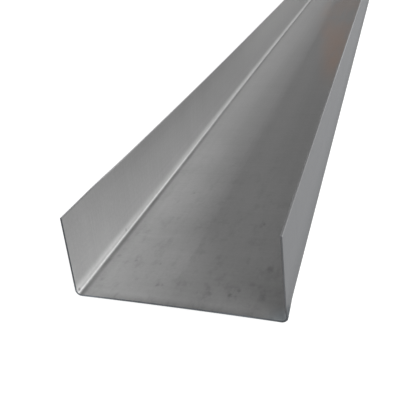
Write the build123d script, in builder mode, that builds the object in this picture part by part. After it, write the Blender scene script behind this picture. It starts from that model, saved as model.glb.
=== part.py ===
"""Steel framing track: one length of roll-formed galvanised sheet.

It is a plain channel, with a flat web that is fastened to a floor or ceiling and two upright legs that
hold the wall studs between them. X runs across the web, Y along the track and Z up the legs. The origin
is at the middle of the web's underside.
"""

import os

from build123d import *

# Driving dimensions, in millimetres
LENGTH = 3048.0  # stock length, ten feet
STUD_DEPTH = 88.9  # web size between the legs, for a 3-1/2 inch stud
LEG_HEIGHT = 38.1  # underside of the web to the top of a leg, 1-1/2 inches
SHEET_THICKNESS = 0.8  # 20 gauge, with its zinc coating
BEND_INSIDE_RADIUS = 2.0  # inside each bend, where the web turns up into a leg

# The outside of the section follows from the inside and the sheet
half_outside_width = STUD_DEPTH / 2 + SHEET_THICKNESS
bend_outside_radius = BEND_INSIDE_RADIUS + SHEET_THICKNESS

os.makedirs("parts", exist_ok=True)

# The sheet: the line of its outer face, thickened inwards by the gauge and run along the whole length
with BuildPart() as track:
    with BuildSketch(Plane.XZ) as section:
        with BuildLine() as outer_face:
            FilletPolyline(
                (-half_outside_width, LEG_HEIGHT),
                (-half_outside_width, 0),
                (half_outside_width, 0),
                (half_outside_width, LEG_HEIGHT),
                radius=bend_outside_radius,
            )
            offset(amount=SHEET_THICKNESS, side=Side.LEFT)
        make_face()
    extrude(amount=LENGTH / 2, both=True)

track.part.label = "track"
export_step(track.part, "parts/track.step")
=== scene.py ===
"""Looks of the steel framing track: its galvanised sheet, the studio around it and the camera."""

import math
from types import SimpleNamespace

import bpy
import numpy as np
from mathutils import Matrix, Vector


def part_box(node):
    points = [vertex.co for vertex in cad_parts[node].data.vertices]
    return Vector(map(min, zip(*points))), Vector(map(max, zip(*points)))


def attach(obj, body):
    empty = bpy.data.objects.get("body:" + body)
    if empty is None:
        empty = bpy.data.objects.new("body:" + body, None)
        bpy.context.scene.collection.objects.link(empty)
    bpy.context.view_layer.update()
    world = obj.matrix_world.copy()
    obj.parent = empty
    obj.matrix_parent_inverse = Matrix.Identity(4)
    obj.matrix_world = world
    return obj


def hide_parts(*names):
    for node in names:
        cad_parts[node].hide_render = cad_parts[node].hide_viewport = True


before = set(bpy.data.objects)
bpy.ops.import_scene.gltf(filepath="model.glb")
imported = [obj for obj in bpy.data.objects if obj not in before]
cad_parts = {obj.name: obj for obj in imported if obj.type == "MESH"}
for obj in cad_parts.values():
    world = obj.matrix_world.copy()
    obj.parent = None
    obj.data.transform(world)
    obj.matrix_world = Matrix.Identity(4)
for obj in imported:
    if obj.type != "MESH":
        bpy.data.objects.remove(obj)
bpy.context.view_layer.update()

# Sizes in metres. The outside of the section comes from the frame.
low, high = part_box("track")
HALF_WIDTH = high[0]
LEG_HEIGHT = high[2]
FRONT = low[1]
LENGTH = high[1] - low[1]
SHEET = 0.0008
BEND_OUTSIDE = 0.0028
EDGE_ROUNDING = 0.00012  # along every sheared edge
LEG_FLAT = LEG_HEIGHT - BEND_OUTSIDE
BEND_LENGTH = BEND_OUTSIDE * math.pi / 2  # along the sheet's outer face
SHEET_WIDTH = 2 * (LEG_FLAT + BEND_LENGTH + HALF_WIDTH - BEND_OUTSIDE)

# How this length differs from a straight one, as the photo shows it
LEFT_TOE_IN = 0.0031  # most that the left leg's top leans in
LEFT_TOE_PLACE = 0.175  # distance of that place from the front end
LEFT_TOE_REACH = 0.30
LEFT_BOW = 0.0004  # but behind the front corner it bows out by this much
LEFT_BOW_PLACE = 0.030
LEFT_BOW_REACH = 0.020
RIGHT_TOE_IN = 0.0006  # most that the right leg's top leans in
RIGHT_TOE_PLACE = 0.10
RIGHT_TOE_REACH = 0.40
LEFT_SPREAD = 0.0008  # the left side stands this much further out, past LEFT_SPREAD_PLACES
LEFT_SPREAD_PLACES = (0.06, 0.55)
LEFT_FOOT_SPREAD = 0.0009  # and the left leg's foot this much more
LEFT_FOOT_PLACES = (0.10, 0.30)
RIGHT_FOOT_FLARE = 0.0005  # the shears pushed the right leg's foot out at the front end
FLARE_REACH = 0.014
FLARE_HEIGHTS = (0.0025, 0.0075)
OUT_OF_SQUARE = 0.0019  # the front cut runs back by this much from the right side to the left
OUT_OF_SQUARE_REACH = 0.10
CROWN = 0.0003  # rise of the web's middle at the front end
CROWN_REACH = 0.25
RIPPLE = 0.00010  # height of the slow waves along the sheet
LEG_RIPPLE_PLACES = (0.25, 0.60)  # the legs wave only past these
LEG_WAVES = ((19.0, 1.0, 1.0), (43.0, 0.4, 0.6))  # radians per metre, start in radians, share of RIPPLE
WEB_WAVE = (13.0, 2.1)  # radians per metre, start in radians

# Steps of the mesh
LEG_STEPS = 14
BEND_STEPS = 12
WEB_STEPS = 40
RING_STEPS = ((0.30, 0.006), (1.00, 0.020), (LENGTH, 0.040))  # up to this distance, in steps of this
SHARP_ANGLE = math.radians(30)

# The camera, measured from the middle of the front end at floor level
IMAGE_PIXELS = 420
FOCAL_PIXELS = 539.3
CAMERA_PLACE = (0.0753, -0.1534, 0.1358)
CAMERA_AIM = (-0.0092, 0.0807, 0.0)
CAMERA_ROLL = math.radians(-6.50)
SENSOR_WIDTH = 36.0  # in millimetres
CAMERA_CLIP = (0.01, 200.0)

# The room: what is seen and mirrored of it, and how it lights dull surfaces, by the direction's height
SEEN_HORIZON, SEEN_OVERHEAD = 1.00, 0.24
LIGHT_HORIZON, LIGHT_OVERHEAD = 0.16, 0.53
SEEN_RISE, LIGHT_RISE = (0.05, 0.25), (0.0, 0.50)
SOFTBOX_SIZE = (4.0, 0.62)  # along the track, across
SOFTBOX_PLACE = (1.73, -1.7, 1.00)
SOFTBOX_AIM = (0.0, -1.7, 0.0)
SOFTBOX_POWER = 70.0
FILL_SIZE = (4.0, 0.50)
FILL_PLACE = (-1.80, 0.0, 0.45)
FILL_AIM = (0.0, 0.0, 0.0)
FILL_POWER = 45.0
FLOOR_COLOUR = (0.40, 0.40, 0.40)
FLOOR_WHITENING = 0.80
FLOOR_HALF = 80.0
FLOOR_DROP = 0.0002

# Colours of the sheet
INSIDE_COLOUR = (0.400, 0.400, 0.400)  # the faces inside the channel
SHADED_OUTSIDE_COLOUR = (0.142, 0.145, 0.150)  # the duller, cooler faces outside it, painted much darker than the inside as shade
TARNISH_COLOUR = (0.490, 0.385, 0.335)
# painted shade in the front right corner, inside it and on its outer bend
CORNER_SHADE_COLOUR = (0.340, 0.372, 0.395)
FOOT_SHADE_COLOUR = (0.070, 0.080, 0.088)
LEFT_LIP_COLOURS = ((0.270, 0.272, 0.276), (0.460, 0.462, 0.465))  # the legs' upper edges, with a painted highlight along them: at the front end and further back
RIGHT_LIP_COLOURS = ((0.215, 0.217, 0.221), (0.330, 0.333, 0.338))
CUT_COLOUR = (0.110, 0.122, 0.134)  # of the web's cut end
LEG_CUT_COLOURS = ((0.044, 0.048, 0.053), (0.166, 0.169, 0.177))  # of the left leg's and the right one's
STEEL_METALLIC = 0.35
STEEL_SPECULAR = 0.06
INSIDE_ROUGHNESS = 0.46
OUTSIDE_ROUGHNESS = 0.60
ROUGHNESS_SWING = 0.05
DIRT_ROUGHNESS = 0.15
CUT_METALLIC = 0.5
CUT_ROUGHNESS = (0.4, 0.6)

# Textures: waves per metre across the sheet, along it and between its faces, then detail and roughness
MOTTLE = ((45.0, 45.0, 45.0), 3.0, 0.6)
GRAIN = ((700.0, 700.0, 700.0), 2.0, 0.6)
STREAKS = ((22.0, 520.0, 40.0), 3.0, 0.6)
STRIPES = ((420.0, 2.5, 40.0), 2.0, 0.5)
PATCHES = ((170.0, 85.0, 170.0), 4.0, 0.65)
UNEVENNESS = ((7.6, 38.0, 38.0), 2.0, 0.5)
CREASE_WAVES = ((90.0, 90.0, 90.0), 1.0, 0.5)
TARNISH_CLOUDS = ((60.0, 9.0, 1.0), 2.0, 0.5)
SHEAR_DRAG = ((900.0, 900.0, 3.0), 2.0, 0.5)
MOTTLE_SWING, GRAIN_SWING, STREAK_SWING, STRIPE_SWING = 0.07, 0.08, 0.06, 0.04  # of the tone around 1
UNEVEN_SWING, PATCH_SWING, DRAG_SWING = 0.55, 0.60, 0.25
RELIEF_STRENGTH = 0.12
RELIEF_HEIGHT = 0.0002
RELIEF_SHARES = (0.4, 0.6)  # of the grain and of the streaks

# Where the web and the legs fade into the bends, by height
WEB_FADE = (0.0012, 0.0025)
LEG_FADE = (0.002, 0.006)

# Marks on the sheet, and painted light and shade. Dark specks on the web's upper face: x, distance from the
# front end, size and how dark
SPECKS = (
    (-0.0290, 0.0280, 0.0008, 0.26),
    (-0.0165, 0.0270, 0.0007, 0.18),
    (-0.0120, 0.0120, 0.0009, 0.24),
    (-0.0100, 0.0125, 0.0007, 0.22),
    (0.0200, 0.0110, 0.0009, 0.30),
    (0.0230, 0.0145, 0.0009, 0.28),
    (0.0225, 0.0680, 0.0008, 0.28),
    (0.0215, 0.0655, 0.0009, 0.10),
    (-0.0230, 0.0965, 0.0008, 0.18),
    (-0.0085, 0.0635, 0.0007, 0.12),
    (0.0100, 0.0320, 0.0011, 0.10),
    (0.0085, 0.0360, 0.0009, 0.08),
    (0.0325, 0.0315, 0.0013, 0.14),
    (0.0275, 0.0195, 0.0012, 0.14),
    (0.0310, 0.0185, 0.0011, 0.13),
    (0.0355, 0.0165, 0.0010, 0.10),
    (0.0335, 0.0115, 0.0012, 0.10),
    (0.0250, 0.0460, 0.0010, 0.08),
    (0.0100, 0.0145, 0.0010, 0.14),
    (0.0115, 0.0100, 0.0011, 0.14),
    (-0.0390, 0.0305, 0.0010, 0.14),
    (-0.0385, 0.0120, 0.0010, 0.14),
    (-0.0230, 0.0145, 0.0009, 0.10),
)
SPECK_STRETCH = 0.75  # specks are longer along the track than across it
SPECK_RAGGEDNESS = 0.0012
SPECK_RAGGED_WAVES = ((1400.0, 1400.0, 1400.0), 1.0, 0.5)
SPECK_EDGE = (0.7, 2.2)  # from the dark core to clean zinc, in sizes of the speck
LEG_SPECKS = (  # at the left leg's foot: place as x, distance from the front end and height, size, how dark
    ((-0.0444, 0.0510, 0.0025), 0.0009, 0.25),
    ((-0.0443, 0.0018, 0.0021), 0.0007, 0.42),
)
LEG_SPECK_EDGE = (0.4, 1.5)
BAND_FOOT = (0.0016, 0.0030)  # heights where a lighter band of painted sheen starts, low on each leg
BAND_TOP = (0.0028, 0.0068)  # and where it ends
BAND_FADES = ((0.27, 0.03, 0.09), (0.09, 0.12, 0.34))  # how much lighter, and from where to where it fades
RIDGE_PAST_LEG = 0.0024  # each bend carries a painted highlight near its middle, this far past the leg's flat
RIDGE_PLACE = LEG_FLAT + RIDGE_PAST_LEG  # from the leg's top
RIDGE_WIDTH = 0.0010
RIDGE_HIGHLIGHT = (0.62, 0.20)  # at the front end and further back
LINE_PAST_LEG = 0.0042  # beside the left one lies a painted dark line of shade, where the bend meets the web
LINE_PLACE = LEG_FLAT + LINE_PAST_LEG
LINE_WIDTH = 0.0025
LINE_SHADE = (0.42, 0.30)  # at the front end and further back
LINE_FADE = (0.08, 0.25)
LINE_SPREAD = 0.0075  # the line's painted shade spreads this far over the web
LINE_SPREAD_SHADE = (0.15, 0.07)
LINE_SPREAD_FADE = (0.05, 0.13)
LEG_BACK_SHADE = 0.20  # painted shade: the zinc inside the legs is darker past the places on the next line, for light falling off along the track
LEG_BACK_SHADE_PLACES = (0.03, 0.30)
LEG_FOOT_SHADE = (0.10, 0.14)  # painted shade low down too: at the front end, and past LEG_FOOT_RISE
LEG_FOOT_RISE = (0.030, 0.050)
LEG_FOOT_HEIGHTS = (0.008, 0.030)
OUTSIDE_FOOT_SHADE = 0.13  # painted shade on the legs' outsides, from the floor up
OUTSIDE_FOOT_HEIGHTS = (0.004, 0.018)
LEG_TOP_SHADE = (0.30, 0.42)  # painted shade, most inside, towards the top: at the front end, and past LEG_TOP_RISE
LEG_TOP_HEIGHTS = (-0.005, 0.045)
LEG_TOP_RISE = 0.08
LEG_TOP_FADE = (0.10, 0.45)
LEG_TOP_REST = 0.30  # the share of it that is left past LEG_TOP_FADE
CREASE_PLACE = 0.050  # a faint crease across the web's left half, with a painted highlight along it
CREASE_WAVE = 0.006
CREASE_ENDS = (-0.041, -0.010)
CREASE_END_FADE = 0.012
CREASE_WIDTH = 0.0022
CREASE_HIGHLIGHT = 0.07
PALE_PATCHES = (  # paler patches on the web: x, distance from the front end, reach and how much lighter
    (-0.030, 0.092, 0.022, 0.11),
    (-0.030, 0.150, 0.020, 0.06),
    (-0.004, 0.032, 0.016, 0.14),
)
PALE_PATCH_STRETCH = 0.55  # they are longer along the track than across it
LONG_STREAKS = (  # faint dark strips along the web, the one on the right half painted shade: x, width on either side, and how much darker
    (-0.0170, 0.009, 0.05),
    (0.0200, 0.014, 0.06),
)
LONG_STREAK_PLACES = (0.07, 0.18, 0.36, 0.55)  # they rise over the first two and fade over the last two
DIRT_REACH = 0.26  # faint dirt over the web, back to this distance
DIRT_EDGE = (0.48, 0.72)
DIRT_DARKENING = 0.12
FRONT_SHADE = 0.18  # painted shade: how much darker the web's right half is along the front cut
FRONT_SHADE_REACH = 0.038
FRONT_SHADE_EDGE = (-0.020, 0.012)
FRONT_MARGIN = 0.26  # and how much darker it is right along the cut, but for its left end
FRONT_MARGIN_REACH = 0.004
FRONT_MARGIN_EDGE = (-0.042, -0.028)
TARNISH_START = (0.27, 0.39)  # a brown stain on the web's right side
TARNISH_FADE = (0.43, 0.60)  # it is fainter past here
TARNISH_FADED_SHARE = 0.45
TARNISH_END = (1.1, 1.5)
TARNISH_EDGE = (0.020, -0.018)  # its left edge's x where it starts, and where it is widest
TARNISH_WIDEST = 0.70
TARNISH_EDGE_FADE = (-0.006, 0.012)
TARNISH_RIGHT = (0.030, 0.043)  # it is fainter beside the right bend
TARNISH_RIGHT_SHARE = 0.45
TARNISH_CLOUD_EDGE = (0.20, 0.60)
CORNER_PLACE = (0.0440, 0.0, 0.0012)  # painted shade in the front right inside corner: x, distance from the front, height
CORNER_REACH = (0.0040, 0.0120)
CORNER_RAGGEDNESS = 0.0042
CORNER_SHARE = 0.8
FOOT_SHADE_PLACE = (0.0452, 0.0, 0.0010)  # and painted shade on the outside of the same corner, where the bend faces down
FOOT_SHADE_REACH = (0.0042, 0.0075)
LIP_DEPTH = (0.0006, 0.0001)  # the legs' upper edges, from their top down
LEFT_LIP_PALING = (0.020, 0.050)  # distances over which they turn paler
RIGHT_LIP_PALING = (0.05, 0.30)
CUT_TONE_PLACES = (  # where the cut is lighter or darker: x, width on either side, and how much lighter
    (-0.038, 0.013, 0.75),
    (0.026, 0.015, 0.38),
    (0.044, 0.004, -0.40),
)
LEG_CUT_HEIGHTS = (0.001, 0.008)  # where the web's cut turns into the legs'


def smooth_step(value, start, end):
    """0 before start, 1 after end and a smooth rise between them."""
    share = np.clip((value - start) / (end - start), 0, 1)
    return share * share * (3 - 2 * share)


def bump_curve(distance, place, reach):
    """A bell-shaped curve of height 1."""
    return np.exp(-(((distance - place) / reach) ** 2))


def bend_stations(centre, start, end):
    """Points around one bend of the outer face, from one angle to just before the other."""
    for angle in np.linspace(start, end, BEND_STEPS + 1)[:-1]:
        c, s = math.cos(angle), math.sin(angle)
        yield centre + BEND_OUTSIDE * c, BEND_OUTSIDE + BEND_OUTSIDE * s, -c, -s, 0


def section_stations():
    """Points along the sheet's outer face, from the left leg's top to the right one's.

    Each is x, z, the normal into the sheet, and how far the sheet's two faces draw together there.
    """
    stations = []
    corner = HALF_WIDTH - BEND_OUTSIDE
    leg_top = LEG_HEIGHT - EDGE_ROUNDING
    leg_heights = np.linspace(leg_top, BEND_OUTSIDE, LEG_STEPS + 1)
    stations.append((-HALF_WIDTH, LEG_HEIGHT, 1, 0, EDGE_ROUNDING))
    for height in leg_heights[:-1]:
        stations.append((-HALF_WIDTH, height, 1, 0, 0))
    stations.extend(bend_stations(-corner, math.pi, 1.5 * math.pi))
    for x in np.linspace(-corner, corner, WEB_STEPS + 1)[:-1]:
        stations.append((x, 0, 0, 1, 0))
    stations.extend(bend_stations(corner, 1.5 * math.pi, 2 * math.pi))
    for height in leg_heights[::-1]:
        stations.append((HALF_WIDTH, height, -1, 0, 0))
    stations.append((HALF_WIDTH, LEG_HEIGHT, -1, 0, EDGE_ROUNDING))
    return np.array(stations, float)


def ring_places():
    """Distances of the mesh's rings from the front end, closer together near it."""
    places = [0.0, EDGE_ROUNDING]
    for end, step in RING_STEPS:
        while places[-1] + step < end - step / 2:
            places.append(places[-1] + step)
    places += [LENGTH - EDGE_ROUNDING, LENGTH]
    return np.array(places)


def lean_and_wave(x, y, z, t):
    """Moves points of the straight sheet to where the real one lies; t is the distance from the front."""
    height = z / LEG_HEIGHT
    left = smooth_step(-x, HALF_WIDTH - 2 * BEND_OUTSIDE, HALF_WIDTH - BEND_OUTSIDE)
    right = smooth_step(x, HALF_WIDTH - 2 * BEND_OUTSIDE, HALF_WIDTH - BEND_OUTSIDE)
    left_half = smooth_step(-x, 0, HALF_WIDTH)

    left_lean = LEFT_TOE_IN * bump_curve(t, LEFT_TOE_PLACE, LEFT_TOE_REACH)
    left_lean = left_lean - LEFT_BOW * bump_curve(t, LEFT_BOW_PLACE, LEFT_BOW_REACH)
    right_lean = RIGHT_TOE_IN * bump_curve(t, RIGHT_TOE_PLACE, RIGHT_TOE_REACH)
    new_x = x + left * height * left_lean - right * height * right_lean
    spread = LEFT_SPREAD * smooth_step(t, *LEFT_SPREAD_PLACES)
    foot_spread = LEFT_FOOT_SPREAD * (1 - height) * smooth_step(t, *LEFT_FOOT_PLACES)
    new_x = new_x - left_half * (spread + foot_spread)
    flare = (1 - smooth_step(t, 0, FLARE_REACH)) * (1 - smooth_step(z, *FLARE_HEIGHTS))
    new_x = new_x + RIGHT_FOOT_FLARE * right * flare
    leg_wave = sum(share * np.sin(turn * t + start) for turn, start, share in LEG_WAVES)
    leg_ripple = RIPPLE * height * leg_wave * smooth_step(t, *LEG_RIPPLE_PLACES)
    new_x = new_x + (left + right) * leg_ripple

    flat = np.clip(1 - (x / HALF_WIDTH) ** 2, 0, 1)
    crown = CROWN * flat * (1 - smooth_step(t, 0, CROWN_REACH))
    turn, start = WEB_WAVE
    web_ripple = RIPPLE * flat * (1 + np.sin(turn * t + start)) / 2
    new_z = z + (1 - left) * (1 - right) * (crown + web_ripple)

    back_set = (0.5 - x / (2 * HALF_WIDTH)) * (1 - smooth_step(t, 0, OUT_OF_SQUARE_REACH))
    return new_x, y + OUT_OF_SQUARE * back_set, new_z


def track_points(stations, rings):
    """The mesh's points and their sheet coordinates, ring by ring, the outer face before the inner one."""
    count = len(stations)
    outer_x, outer_z, normal_x, normal_z, rounding = stations.T
    across = np.concatenate([[0], np.cumsum(np.hypot(np.diff(outer_x), np.diff(outer_z)))])
    points, coords = [], []
    for t in rings:
        at_end = t == rings[0] or t == rings[-1]
        inset = np.maximum(rounding, EDGE_ROUNDING if at_end else 0)
        for depth, side in ((inset, 0.0), (SHEET - inset, 1.0)):
            x = outer_x + normal_x * depth
            z = outer_z + normal_z * depth
            moved = lean_and_wave(x, np.full(count, FRONT + t), z, np.full(count, t))
            points.append(np.stack(moved, 1))
            coords.append(np.stack([across, np.full(count, t), np.full(count, side)], 1))
    return np.concatenate(points), np.concatenate(coords)


def track_faces(count, ring_count):
    """The closed sheet's faces, and for each whether it lies on a sheared end."""
    faces, cut = [], []

    def strip(first, second, step, near_end):
        """One face between two neighbouring points on each of two rows."""
        faces.append([first, second, second + step, first + step])
        cut.append(near_end)

    def row(ring, side):
        """The first point of a ring's outer or inner row."""
        return (2 * ring + side) * count

    last = count - 1
    for ring in range(ring_count - 1):
        near_end = ring in (0, ring_count - 2)
        for i in range(last):
            strip(row(ring, 0) + i, row(ring + 1, 0) + i, 1, near_end)
            strip(row(ring + 1, 1) + i, row(ring, 1) + i, 1, near_end)
        strip(row(ring + 1, 0), row(ring, 0), count, near_end)
        strip(row(ring, 0) + last, row(ring + 1, 0) + last, count, near_end)
    for i in range(last):
        strip(row(0, 1) + i, row(0, 0) + i, 1, True)
        strip(row(ring_count - 1, 0) + i, row(ring_count - 1, 1) + i, 1, True)
    return faces, cut


def make_track():
    """The whole sheet as one closed mesh, with a sheet coordinate on every point."""
    stations = section_stations()
    rings = ring_places()
    points, coords = track_points(stations, rings)
    faces, cut = track_faces(len(stations), len(rings))
    mesh = bpy.data.meshes.new("track_sheet")
    mesh.from_pydata(points.tolist(), [], faces)
    mesh.attributes.new("sheet", "FLOAT_VECTOR", "POINT").data.foreach_set("vector", coords.ravel())
    mesh.polygons.foreach_set("use_smooth", [True] * len(faces))
    mesh.polygons.foreach_set("material_index", [int(c) for c in cut])
    mesh.set_sharp_from_angle(angle=SHARP_ANGLE)
    mesh.update()
    piece = bpy.data.objects.new("track_sheet", mesh)
    bpy.context.scene.collection.objects.link(piece)
    return piece


class Graph:
    """Short ways to add and join shader nodes."""

    def __init__(self, tree):
        self.tree = tree

    def add(self, kind, **settings):
        node = self.tree.nodes.new(kind)
        for name, value in settings.items():
            setattr(node, name, value)
        return node

    def join(self, value, socket):
        """Links another node's output to a socket, or sets a constant."""
        if isinstance(value, bpy.types.NodeSocket):
            self.tree.links.new(value, socket)
        else:
            socket.default_value = value

    def fill(self, node, *values):
        """Gives a node's first inputs these values."""
        for value, socket in zip(values, node.inputs):
            self.join(value, socket)
        return node

    def math(self, operation, *values):
        return self.fill(self.add("ShaderNodeMath", operation=operation), *values).outputs[0]

    def vector(self, operation, *values):
        node = self.fill(self.add("ShaderNodeVectorMath", operation=operation), *values)
        return node.outputs["Value" if operation == "DISTANCE" else "Vector"]

    def scaled(self, colour, factor):
        """A colour made lighter or darker."""
        node = self.add("ShaderNodeVectorMath", operation="SCALE")
        self.join(colour, node.inputs[0])
        self.join(factor, node.inputs["Scale"])
        return node.outputs["Vector"]

    def parts(self, vector):
        """A vector's x, y and z."""
        return tuple(self.fill(self.add("ShaderNodeSeparateXYZ"), vector).outputs)

    def whole(self, *values):
        """A vector of x, y and z, the reverse of parts."""
        return self.fill(self.add("ShaderNodeCombineXYZ"), *values).outputs[0]

    def ramp(self, value, start, end, to_start=0.0, to_end=1.0):
        """A smooth change from to_start to to_end, as value goes from start to end."""
        node = self.add("ShaderNodeMapRange", interpolation_type="SMOOTHSTEP")
        return self.fill(node, value, start, end, to_start, to_end).outputs[0]

    def noise(self, vector, scales, detail, roughness):
        """A texture from 0 to 1 with its own scale along each axis."""
        node = self.add("ShaderNodeTexNoise")
        self.join(self.vector("MULTIPLY", vector, scales), node.inputs["Vector"])
        node.inputs["Scale"].default_value = 1.0
        node.inputs["Detail"].default_value = detail
        node.inputs["Roughness"].default_value = roughness
        return node.outputs["Fac"]

    def mix(self, share, first, second):
        """The first colour where share is 0, and the second where it is 1."""
        node = self.fill(self.add("ShaderNodeMix", data_type="RGBA"), share)
        colour_sockets = [socket for socket in node.inputs if socket.type == "RGBA"]
        for colour, socket in zip((first, second), colour_sockets):
            self.join((*colour, 1) if isinstance(colour, tuple) else colour, socket)
        return next(socket for socket in node.outputs if socket.type == "RGBA")

    def product(self, *values):
        result = values[0]
        for value in values[1:]:
            result = self.math("MULTIPLY", result, value)
        return result

    def around_one(self, value, amount):
        """A texture's 0 to 1 as a factor that swings by amount around 1."""
        return self.math("MULTIPLY_ADD", value, 2 * amount, 1 - amount)

    def darker(self, share, amount=1.0):
        """A factor that falls below 1 by amount where share is 1."""
        return self.math("SUBTRACT", 1.0, self.math("MULTIPLY", share, amount))

    def lighter(self, share, amount):
        """A factor that rises above 1 by amount where share is 1."""
        return self.math("MULTIPLY_ADD", share, amount, 1.0)

    def stripe(self, value, place, width):
        """1 where value is place, falling to 0 at width on either side."""
        return self.ramp(self.math("ABSOLUTE", self.math("SUBTRACT", value, place)), 0.0, width, 1.0, 0.0)

    def spot(self, distance, size, edge, darkening):
        """A factor under 1 by darkening within a spot's core, and 1 past its rim; edge is both in sizes."""
        core, rim = (size * share for share in edge)
        return self.ramp(distance, core, rim, 1 - darkening, 1.0)

    def seen_rays(self):
        """1 for rays that show or mirror the surroundings, and 0 for those that only light something."""
        path = self.add("ShaderNodeLightPath").outputs
        mirrored = self.math("MAXIMUM", path["Is Glossy Ray"], path["Is Transmission Ray"])
        return self.math("MAXIMUM", path["Is Camera Ray"], mirrored)


def new_material(name):
    """A material with one plain shader, and the graph to build on."""
    material = bpy.data.materials.new(name)
    material.use_nodes = True
    material.node_tree.nodes.clear()
    graph = Graph(material.node_tree)
    shader = graph.add("ShaderNodeBsdfPrincipled")
    output = graph.add("ShaderNodeOutputMaterial")
    graph.join(shader.outputs[0], output.inputs["Surface"])
    return material, graph, shader


def sheet_places(graph):
    """Where a point lies on the sheet and in the frame, and the textures that several marks share."""
    at = SimpleNamespace()
    at.sheet = graph.add("ShaderNodeAttribute", attribute_name="sheet").outputs["Vector"]
    across, at.t, at.inner = graph.parts(at.sheet)
    at.x, _, at.z = graph.parts(graph.add("ShaderNodeTexCoord").outputs["Object"])
    at.point = graph.whole(at.x, at.t, at.z)
    at.from_top = graph.math("MINIMUM", across, graph.math("SUBTRACT", SHEET_WIDTH, across))
    at.on_web = graph.math("MULTIPLY", at.inner, graph.ramp(at.z, *WEB_FADE, 1.0, 0.0))
    at.on_leg = graph.math("MULTIPLY", at.inner, graph.ramp(at.z, *LEG_FADE))
    at.mottle = graph.noise(at.sheet, *MOTTLE)
    at.grain = graph.noise(at.sheet, *GRAIN)
    at.streaks = graph.noise(at.sheet, *STREAKS)
    at.patches = graph.noise(at.sheet, *PATCHES)
    at.uneven = graph.around_one(graph.noise(at.sheet, *UNEVENNESS), UNEVEN_SWING)
    from_corner = graph.vector("DISTANCE", at.point, CORNER_PLACE)
    from_corner = graph.math("MULTIPLY_ADD", at.patches, CORNER_RAGGEDNESS, from_corner)
    at.corner = graph.ramp(from_corner, *CORNER_REACH, CORNER_SHARE, 0.0)
    return at


def zinc_tone(graph, at):
    """The zinc's soft mottling, fine grain, crosswise streaks and the rolls' long stripes."""
    stripes = graph.noise(at.sheet, *STRIPES)
    return graph.product(
        graph.around_one(at.mottle, MOTTLE_SWING),
        graph.around_one(at.grain, GRAIN_SWING),
        graph.around_one(at.streaks, STREAK_SWING),
        graph.around_one(stripes, STRIPE_SWING),
    )


def front_dirt(graph, at):
    """Faint patches of dirt on the web, fewer away from the front end."""
    near_front = graph.ramp(at.t, 0.0, DIRT_REACH, 1.0, 0.0)
    return graph.product(graph.ramp(at.patches, *DIRT_EDGE), near_front, at.on_web)


def front_darkening(graph, at):
    """Darker margins along the web's front cut: a narrow one, and a wide one on the right half that is
    painted shade.
    """
    margins = (
        (FRONT_SHADE, FRONT_SHADE_REACH, FRONT_SHADE_EDGE),
        (FRONT_MARGIN, FRONT_MARGIN_REACH, FRONT_MARGIN_EDGE),
    )
    cloudy = graph.product(graph.around_one(at.patches, PATCH_SWING), at.on_web, graph.darker(at.corner))
    factors = []
    for darkening, reach, edge in margins:
        share = graph.product(graph.ramp(at.t, 0.0, reach, 1.0, 0.0), graph.ramp(at.x, *edge), cloudy)
        factors.append(graph.darker(share, darkening))
    return graph.product(*factors)


def web_specks(graph, at):
    """A factor under 1 inside each dark speck on the web."""
    factors = []
    place = graph.whole(at.x, graph.math("MULTIPLY", at.t, SPECK_STRETCH), 0.0)
    ragged = graph.noise(place, *SPECK_RAGGED_WAVES)
    for x, t, size, darkening in SPECKS:
        distance = graph.vector("DISTANCE", place, (x, t * SPECK_STRETCH, 0.0))
        distance = graph.math("MULTIPLY_ADD", ragged, SPECK_RAGGEDNESS, distance)
        factors.append(graph.spot(distance, size, SPECK_EDGE, darkening))
    inside = graph.math("SUBTRACT", 1.0, graph.product(*factors))
    return graph.darker(inside, at.on_web)


def web_crease_highlight(graph, at):
    """A painted highlight along a faint crease across part of the web."""
    wave = graph.noise(at.sheet, *CREASE_WAVES)
    place = graph.math("MULTIPLY_ADD", wave, CREASE_WAVE, CREASE_PLACE - CREASE_WAVE / 2)
    left, right = CREASE_ENDS
    share = graph.product(
        graph.stripe(at.t, place, CREASE_WIDTH),
        graph.ramp(at.x, left, left + CREASE_END_FADE),
        graph.ramp(at.x, right - CREASE_END_FADE, right, 1.0, 0.0),
        at.on_web,
    )
    return graph.lighter(share, CREASE_HIGHLIGHT)


def pale_patches(graph, at):
    """Soft, paler patches on the web."""
    factors = []
    place = graph.whole(at.x, graph.math("MULTIPLY", at.t, PALE_PATCH_STRETCH), 0.0)
    for x, t, reach, lift in PALE_PATCHES:
        distance = graph.vector("DISTANCE", place, (x, t * PALE_PATCH_STRETCH, 0.0))
        share = graph.product(graph.ramp(distance, 0.0, reach, 1.0, 0.0), at.on_web)
        factors.append(graph.lighter(share, lift))
    return graph.product(*factors)


def long_streaks(graph, at):
    """Faint dark strips along part of the web; the one on the right half is painted shade."""
    rise_start, rise_end, fade_start, fade_end = LONG_STREAK_PLACES
    along = graph.product(
        graph.ramp(at.t, rise_start, rise_end), graph.ramp(at.t, fade_start, fade_end, 1.0, 0.0), at.on_web
    )
    factors = []
    for x, width, darkening in LONG_STREAKS:
        share = graph.math("MULTIPLY", graph.stripe(at.x, x, width), along)
        factors.append(graph.darker(share, darkening))
    return graph.product(*factors)


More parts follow.
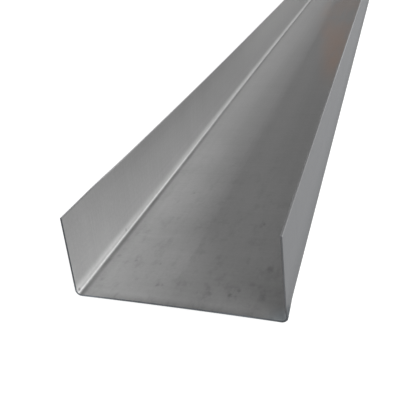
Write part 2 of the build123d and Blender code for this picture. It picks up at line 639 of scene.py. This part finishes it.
def leg_shading(graph, at):
    """Painted shade: inside the legs away from the front end, low and high up, and outside them low down.
    """
    along = graph.ramp(at.t, *LEG_BACK_SHADE_PLACES, 0.0, LEG_BACK_SHADE)
    foot = graph.ramp(at.z, *LEG_FOOT_HEIGHTS, graph.ramp(at.t, *LEG_FOOT_RISE, *LEG_FOOT_SHADE), 0.0)
    top = graph.product(
        graph.ramp(at.t, 0.0, LEG_TOP_RISE, *LEG_TOP_SHADE),
        graph.ramp(at.t, *LEG_TOP_FADE, 1.0, LEG_TOP_REST),
        graph.ramp(at.z, *LEG_TOP_HEIGHTS),
    )
    lower = graph.darker(graph.math("ADD", along, foot), at.on_leg)
    outside = graph.ramp(at.z, *OUTSIDE_FOOT_HEIGHTS, OUTSIDE_FOOT_SHADE, 0.0)
    outside = graph.darker(outside, graph.math("SUBTRACT", 1.0, at.inner))
    return graph.product(lower, graph.darker(top, at.on_leg), outside)


def leg_specks(graph, at):
    """A factor under 1 inside each dark speck at the left leg's foot."""
    factors = []
    for place, size, darkening in LEG_SPECKS:
        distance = graph.vector("DISTANCE", at.point, place)
        factors.append(graph.spot(distance, size, LEG_SPECK_EDGE, darkening))
    return graph.product(*factors)


def bend_light_and_shade(graph, at):
    """Painted light along each inside bend, a sheen in a band and a highlight on a ridge, and a painted
    dark line of shade along the left one.
    """
    lift = graph.math("ADD", *(graph.ramp(at.t, start, end, most, 0.0) for most, start, end in BAND_FADES))
    band = graph.product(
        graph.ramp(at.z, *BAND_TOP, 1.0, 0.0), graph.ramp(at.z, *BAND_FOOT), at.inner, at.uneven
    )
    ridge = graph.product(
        graph.stripe(at.from_top, RIDGE_PLACE, RIDGE_WIDTH), at.inner, graph.darker(at.corner)
    )
    on_left = graph.math("LESS_THAN", at.x, 0.0)
    line = graph.product(graph.stripe(at.from_top, LINE_PLACE, LINE_WIDTH), at.inner, at.uneven, on_left)
    spread = graph.ramp(at.from_top, LINE_PLACE, LINE_PLACE + LINE_SPREAD, 1.0, 0.0)
    spread = graph.product(spread, at.on_web, on_left)
    return graph.product(
        graph.lighter(band, lift),
        graph.lighter(ridge, graph.ramp(at.t, *LINE_FADE, *RIDGE_HIGHLIGHT)),
        graph.darker(line, graph.ramp(at.t, *LINE_FADE, *LINE_SHADE)),
        graph.darker(spread, graph.ramp(at.t, *LINE_SPREAD_FADE, *LINE_SPREAD_SHADE)),
    )


def tarnish(graph, at):
    """1 inside the cloudy brown stain on the web's right side."""
    edge = graph.ramp(at.t, TARNISH_START[0], TARNISH_WIDEST, *TARNISH_EDGE)
    return graph.product(
        graph.ramp(at.t, *TARNISH_START),
        graph.ramp(at.t, *TARNISH_FADE, 1.0, TARNISH_FADED_SHARE),
        graph.ramp(at.t, *TARNISH_END, 1.0, 0.0),
        graph.ramp(graph.math("SUBTRACT", at.x, edge), *TARNISH_EDGE_FADE),
        graph.ramp(at.x, *TARNISH_RIGHT, 1.0, TARNISH_RIGHT_SHARE),
        graph.ramp(graph.noise(at.sheet, *TARNISH_CLOUDS), *TARNISH_CLOUD_EDGE),
        at.on_web,
    )


def sheet_colour(graph, at):
    """The zinc's colour by face, the outside painted darker as shade, with the stain, painted shade in the
    front right corner and the legs' upper edges with their painted highlight.
    """
    from_foot = graph.vector("DISTANCE", at.point, FOOT_SHADE_PLACE)
    outside = graph.mix(graph.ramp(from_foot, *FOOT_SHADE_REACH), FOOT_SHADE_COLOUR, SHADED_OUTSIDE_COLOUR)
    inside = graph.mix(tarnish(graph, at), INSIDE_COLOUR, TARNISH_COLOUR)
    inside = graph.mix(at.corner, inside, CORNER_SHADE_COLOUR)
    colour = graph.mix(at.inner, outside, inside)
    left_lip = graph.mix(graph.ramp(at.t, *LEFT_LIP_PALING), *LEFT_LIP_COLOURS)
    right_lip = graph.mix(graph.ramp(at.t, *RIGHT_LIP_PALING), *RIGHT_LIP_COLOURS)
    lip = graph.mix(graph.math("GREATER_THAN", at.x, 0.0), left_lip, right_lip)
    lip_start, lip_end = (LEG_HEIGHT - depth for depth in LIP_DEPTH)
    return graph.mix(graph.ramp(at.z, lip_start, lip_end), colour, lip)


def galvanised_steel():
    """Dull zinc on rolled sheet, with what handling and storage left on it, and painted light and shade."""
    material, graph, shader = new_material("galvanised_steel")
    at = sheet_places(graph)
    dirt = front_dirt(graph, at)
    # several of these paint light and shade into the colour
    marks_and_painted_light = (
        front_darkening, web_specks, web_crease_highlight, pale_patches, long_streaks, leg_shading, leg_specks, bend_light_and_shade
    )
    tone = graph.product(
        zinc_tone(graph, at), graph.darker(dirt, DIRT_DARKENING), *(mark(graph, at) for mark in marks_and_painted_light)
    )
    graph.join(graph.scaled(sheet_colour(graph, at), tone), shader.inputs["Base Color"])

    roughness = graph.ramp(at.inner, 0.0, 1.0, OUTSIDE_ROUGHNESS, INSIDE_ROUGHNESS)
    mottled = graph.math("MULTIPLY_ADD", at.mottle, 2 * ROUGHNESS_SWING, -ROUGHNESS_SWING)
    roughness = graph.math("ADD", roughness, mottled)
    roughness = graph.math("MULTIPLY_ADD", dirt, DIRT_ROUGHNESS, roughness)
    graph.join(roughness, shader.inputs["Roughness"])
    shader.inputs["Metallic"].default_value = STEEL_METALLIC
    shader.inputs["Specular IOR Level"].default_value = STEEL_SPECULAR

    grain_share, streak_share = RELIEF_SHARES
    relief = graph.math("MULTIPLY", at.grain, grain_share)
    relief = graph.math("MULTIPLY_ADD", at.streaks, streak_share, relief)
    bump = graph.add("ShaderNodeBump")
    bump.inputs["Strength"].default_value = RELIEF_STRENGTH
    bump.inputs["Distance"].default_value = RELIEF_HEIGHT
    graph.join(relief, bump.inputs["Height"])
    graph.join(bump.outputs[0], shader.inputs["Normal"])
    return material


def sheared_edge():
    """The bare steel where the sheet was cut, darker and bluer than the zinc."""
    material, graph, shader = new_material("sheared_edge")
    sheet = graph.add("ShaderNodeAttribute", attribute_name="sheet").outputs["Vector"]
    x, _, z = graph.parts(graph.add("ShaderNodeTexCoord").outputs["Object"])
    drag = graph.noise(sheet, *SHEAR_DRAG)
    cut_patches = (graph.lighter(graph.stripe(x, place, width), lift) for place, width, lift in CUT_TONE_PLACES)
    legs = graph.mix(graph.math("GREATER_THAN", x, 0.0), *LEG_CUT_COLOURS)
    colour = graph.mix(graph.ramp(z, *LEG_CUT_HEIGHTS), CUT_COLOUR, legs)
    tone = graph.product(graph.around_one(drag, DRAG_SWING), *cut_patches)
    graph.join(graph.scaled(colour, tone), shader.inputs["Base Color"])
    graph.join(graph.ramp(drag, 0.0, 1.0, *CUT_ROUGHNESS), shader.inputs["Roughness"])
    shader.inputs["Metallic"].default_value = CUT_METALLIC
    return material


def make_floor():
    """A plain pale floor, wide enough to fill every view."""
    mesh = bpy.data.meshes.new("floor")
    corners = [(x * FLOOR_HALF, y * FLOOR_HALF, 0) for x, y in ((-1, -1), (1, -1), (1, 1), (-1, 1))]
    mesh.from_pydata(corners, [], [(0, 1, 2, 3)])
    floor = bpy.data.objects.new("floor", mesh)
    floor.location.z = -FLOOR_DROP
    bpy.context.scene.collection.objects.link(floor)
    material, graph, shader = new_material("floor")
    shader.inputs["Base Color"].default_value = (*FLOOR_COLOUR, 1)
    shader.inputs["Roughness"].default_value = 1.0
    shader.inputs["Specular IOR Level"].default_value = 0.0
    shader.inputs["Emission Color"].default_value = (1, 1, 1, 1)
    whitening = graph.math("MULTIPLY", graph.seen_rays(), FLOOR_WHITENING)
    graph.join(whitening, shader.inputs["Emission Strength"])
    mesh.materials.append(material)


def light_room():
    """A pale room, seen brighter near the horizon than overhead."""
    world = bpy.data.worlds.new("studio")
    world.use_nodes = True
    world.node_tree.nodes.clear()
    graph = Graph(world.node_tree)
    _, _, height = graph.parts(graph.add("ShaderNodeTexCoord").outputs["Generated"])
    lighting = graph.ramp(height, *LIGHT_RISE, LIGHT_HORIZON, LIGHT_OVERHEAD)
    showing = graph.ramp(height, *SEEN_RISE, SEEN_HORIZON, SEEN_OVERHEAD)
    level = graph.ramp(graph.seen_rays(), 0.0, 1.0, lighting, showing)
    background = graph.add("ShaderNodeBackground")
    background.inputs["Color"].default_value = (1, 1, 1, 1)
    graph.join(level, background.inputs["Strength"])
    output = graph.add("ShaderNodeOutputWorld")
    graph.join(background.outputs[0], output.inputs["Surface"])
    bpy.context.scene.world = world


def add_softbox(name, size, place, aim, power):
    """A long lamp that lies along the track and faces aim."""
    lamp = bpy.data.lights.new(name, "AREA")
    lamp.shape = "RECTANGLE"
    lamp.size, lamp.size_y = size
    lamp.energy = power
    softbox = bpy.data.objects.new(name, lamp)
    back = (Vector(place) - Vector(aim)).normalized()
    along = Vector((0, 1, 0))
    up = back.cross(along).normalized()
    softbox.matrix_world = Matrix.Translation(place) @ Matrix((along, up, back)).transposed().to_4x4()
    bpy.context.scene.collection.objects.link(softbox)


def make_camera():
    """The camera stands close to the front end, a little to its right, and leans to one side."""
    data = bpy.data.cameras.new("camera")
    data.sensor_width = SENSOR_WIDTH
    data.lens = FOCAL_PIXELS / IMAGE_PIXELS * SENSOR_WIDTH
    data.clip_start, data.clip_end = CAMERA_CLIP
    camera = bpy.data.objects.new("camera", data)
    end = Vector((0, FRONT, 0))
    place = Vector(CAMERA_PLACE) + end
    forward = (Vector(CAMERA_AIM) + end - place).normalized()
    level = forward.cross(Vector((0, 0, 1))).normalized()
    up = level.cross(forward)
    right = math.cos(CAMERA_ROLL) * level + math.sin(CAMERA_ROLL) * up
    axes = Matrix((right, right.cross(forward), -forward)).transposed()
    camera.matrix_world = Matrix.Translation(place) @ axes.to_4x4()
    bpy.context.scene.collection.objects.link(camera)
    bpy.context.scene.camera = camera


track = make_track()
track.data.materials.append(galvanised_steel())
track.data.materials.append(sheared_edge())
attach(track, "root")
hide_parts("track")
make_floor()
light_room()
add_softbox("softbox", SOFTBOX_SIZE, SOFTBOX_PLACE, SOFTBOX_AIM, SOFTBOX_POWER)
add_softbox("fill", FILL_SIZE, FILL_PLACE, FILL_AIM, FILL_POWER)
make_camera()
bpy.context.scene.view_settings.view_transform = "Standard"
